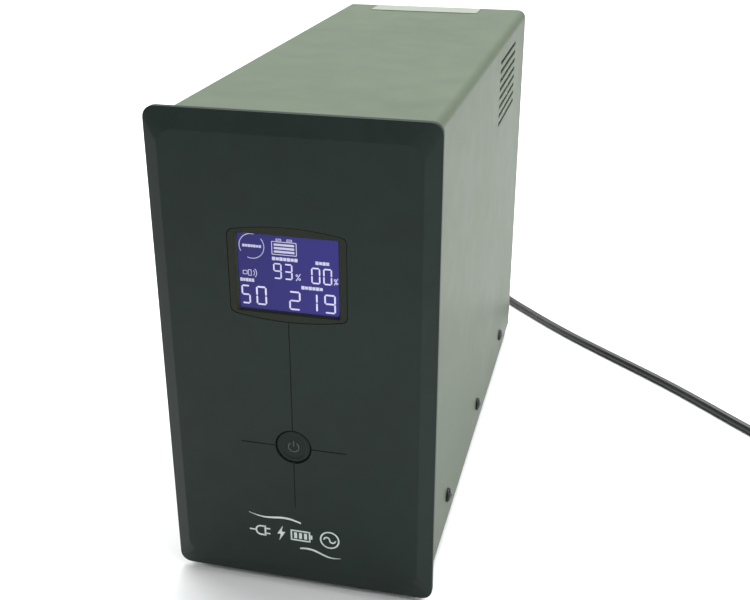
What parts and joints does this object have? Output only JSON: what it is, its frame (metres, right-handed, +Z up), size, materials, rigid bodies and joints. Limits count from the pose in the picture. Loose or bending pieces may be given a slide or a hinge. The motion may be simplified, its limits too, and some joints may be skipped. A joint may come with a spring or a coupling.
{
  "type": "uninterruptible power supply",
  "caption": "Tower uninterruptible power supply with a moulded front panel, blue display, round power button, sheet-metal case, rear outlets and a mains lead with plug.",
  "frame": {"origin": "on the floor under the middle of the housing, lead and plug left out", "axes": "+Z up, the front panel faces -Y, +X is the right-hand side seen from the front"},
  "size_m": [0.4681, 0.4594, 0.2843],
  "materials": {
    "powder_coat": "fine matt powder coat",
    "zinc_sheet": "zinc-plated sheet",
    "foot_rubber": "matt moulded rubber",
    "black_screw": "blackened steel",
    "label_paper": "blank paper label",
    "panel_plastic": "fine-textured moulding",
    "display_frame_plastic": "semi-gloss moulding",
    "display_blue": "lit blue display under glass",
    "backlight_plastic": "white moulding",
    "circuit_board": "green solder mask",
    "black_plastic": "moulded",
    "button_plastic": "satin moulding",
    "battery_case": "moulded",
    "aluminium_fins": "extruded",
    "relay_case": "moulded",
    "capacitor_sleeve": "shrink sleeve",
    "core_steel": "varnished laminations",
    "winding_tape": "copper winding under tape",
    "cable_grey": "flat cable",
    "fan_plastic": "moulded",
    "bright_steel": "bright plated steel",
    "outlet_plastic": "moulded",
    "cord_rubber": "black cord sheath",
    "tie_fabric": "hook-and-loop tie"
  },
  "bodies": {
    "housing": {"base_chassis": "zinc_sheet", "battery_left": "battery_case", "battery_right": "battery_case", "battery_strap": "zinc_sheet", "board_shelf": "zinc_sheet", "breaker_body": "black_plastic", "breaker_nut": "bright_steel", "capacitor_1": "capacitor_sleeve", "capacitor_2": "capacitor_sleeve", "case_screw_left_1": "black_screw", "case_screw_left_2": "black_screw", "case_screw_left_3": "black_screw", "case_screw_right_1": "black_screw", "case_screw_right_2": "black_screw", "case_screw_right_3": "black_screw", "coil_tie": "tie_fabric", "cord_coil": "cord_rubber", "cord_strain_relief": "cord_rubber", "cord_tail": "cord_rubber", "data_ports": "black_plastic", "display_backlight": "backlight_plastic", "display_frame": "display_frame_plastic", "display_glass": "display_blue", "fan_frame": "fan_plastic", "fan_guard": "bright_steel", "fan_screw_1": "bright_steel", "fan_screw_2": "bright_steel", "fan_screw_3": "bright_steel", "fan_screw_4": "bright_steel", "foot_1": "foot_rubber", "foot_2": "foot_rubber", "foot_3": "foot_rubber", "foot_4": "foot_rubber", "front_board": "circuit_board", "front_panel": "panel_plastic", "heat_sink_left": "aluminium_fins", "heat_sink_right": "aluminium_fins", "main_board": "circuit_board", "mains_cord": "cord_rubber", "mains_plug": "cord_rubber", "outlet_1": "outlet_plastic", "outlet_2": "outlet_plastic", "outlet_3": "outlet_plastic", "outlet_4": "outlet_plastic", "push_switch": "black_plastic", "rear_panel": "powder_coat", "relay_1": "relay_case", "relay_2": "relay_case", "ribbon_cable": "cable_grey", "top_cover": "powder_coat", "top_label": "label_paper", "transformer_clamp": "zinc_sheet", "transformer_core": "core_steel", "transformer_winding": "winding_tape", "usb_port": "bright_steel"},
    "power_button": {"power_button": "button_plastic"},
    "fan_rotor": {"fan_rotor": "fan_plastic"},
    "breaker_button": {"breaker_button": "black_plastic"}
  },
  "joints": [
    {"name": "power_button_press", "type": "slide", "parent": "housing", "child": "power_button", "axis": [0, 1, 0], "range_m": [0, 0.0015], "stiffness_N_per_m": 600},
    {"name": "fan_spin", "type": "hinge", "parent": "housing", "child": "fan_rotor", "pos_m": [-0.022, 0.1725, 0.226], "axis": [0, 1, 0], "continuous": true},
    {"name": "breaker_reset", "type": "slide", "parent": "housing", "child": "breaker_button", "axis": [0, 1, 0], "range_m": [0, 0.003]}
  ]
}
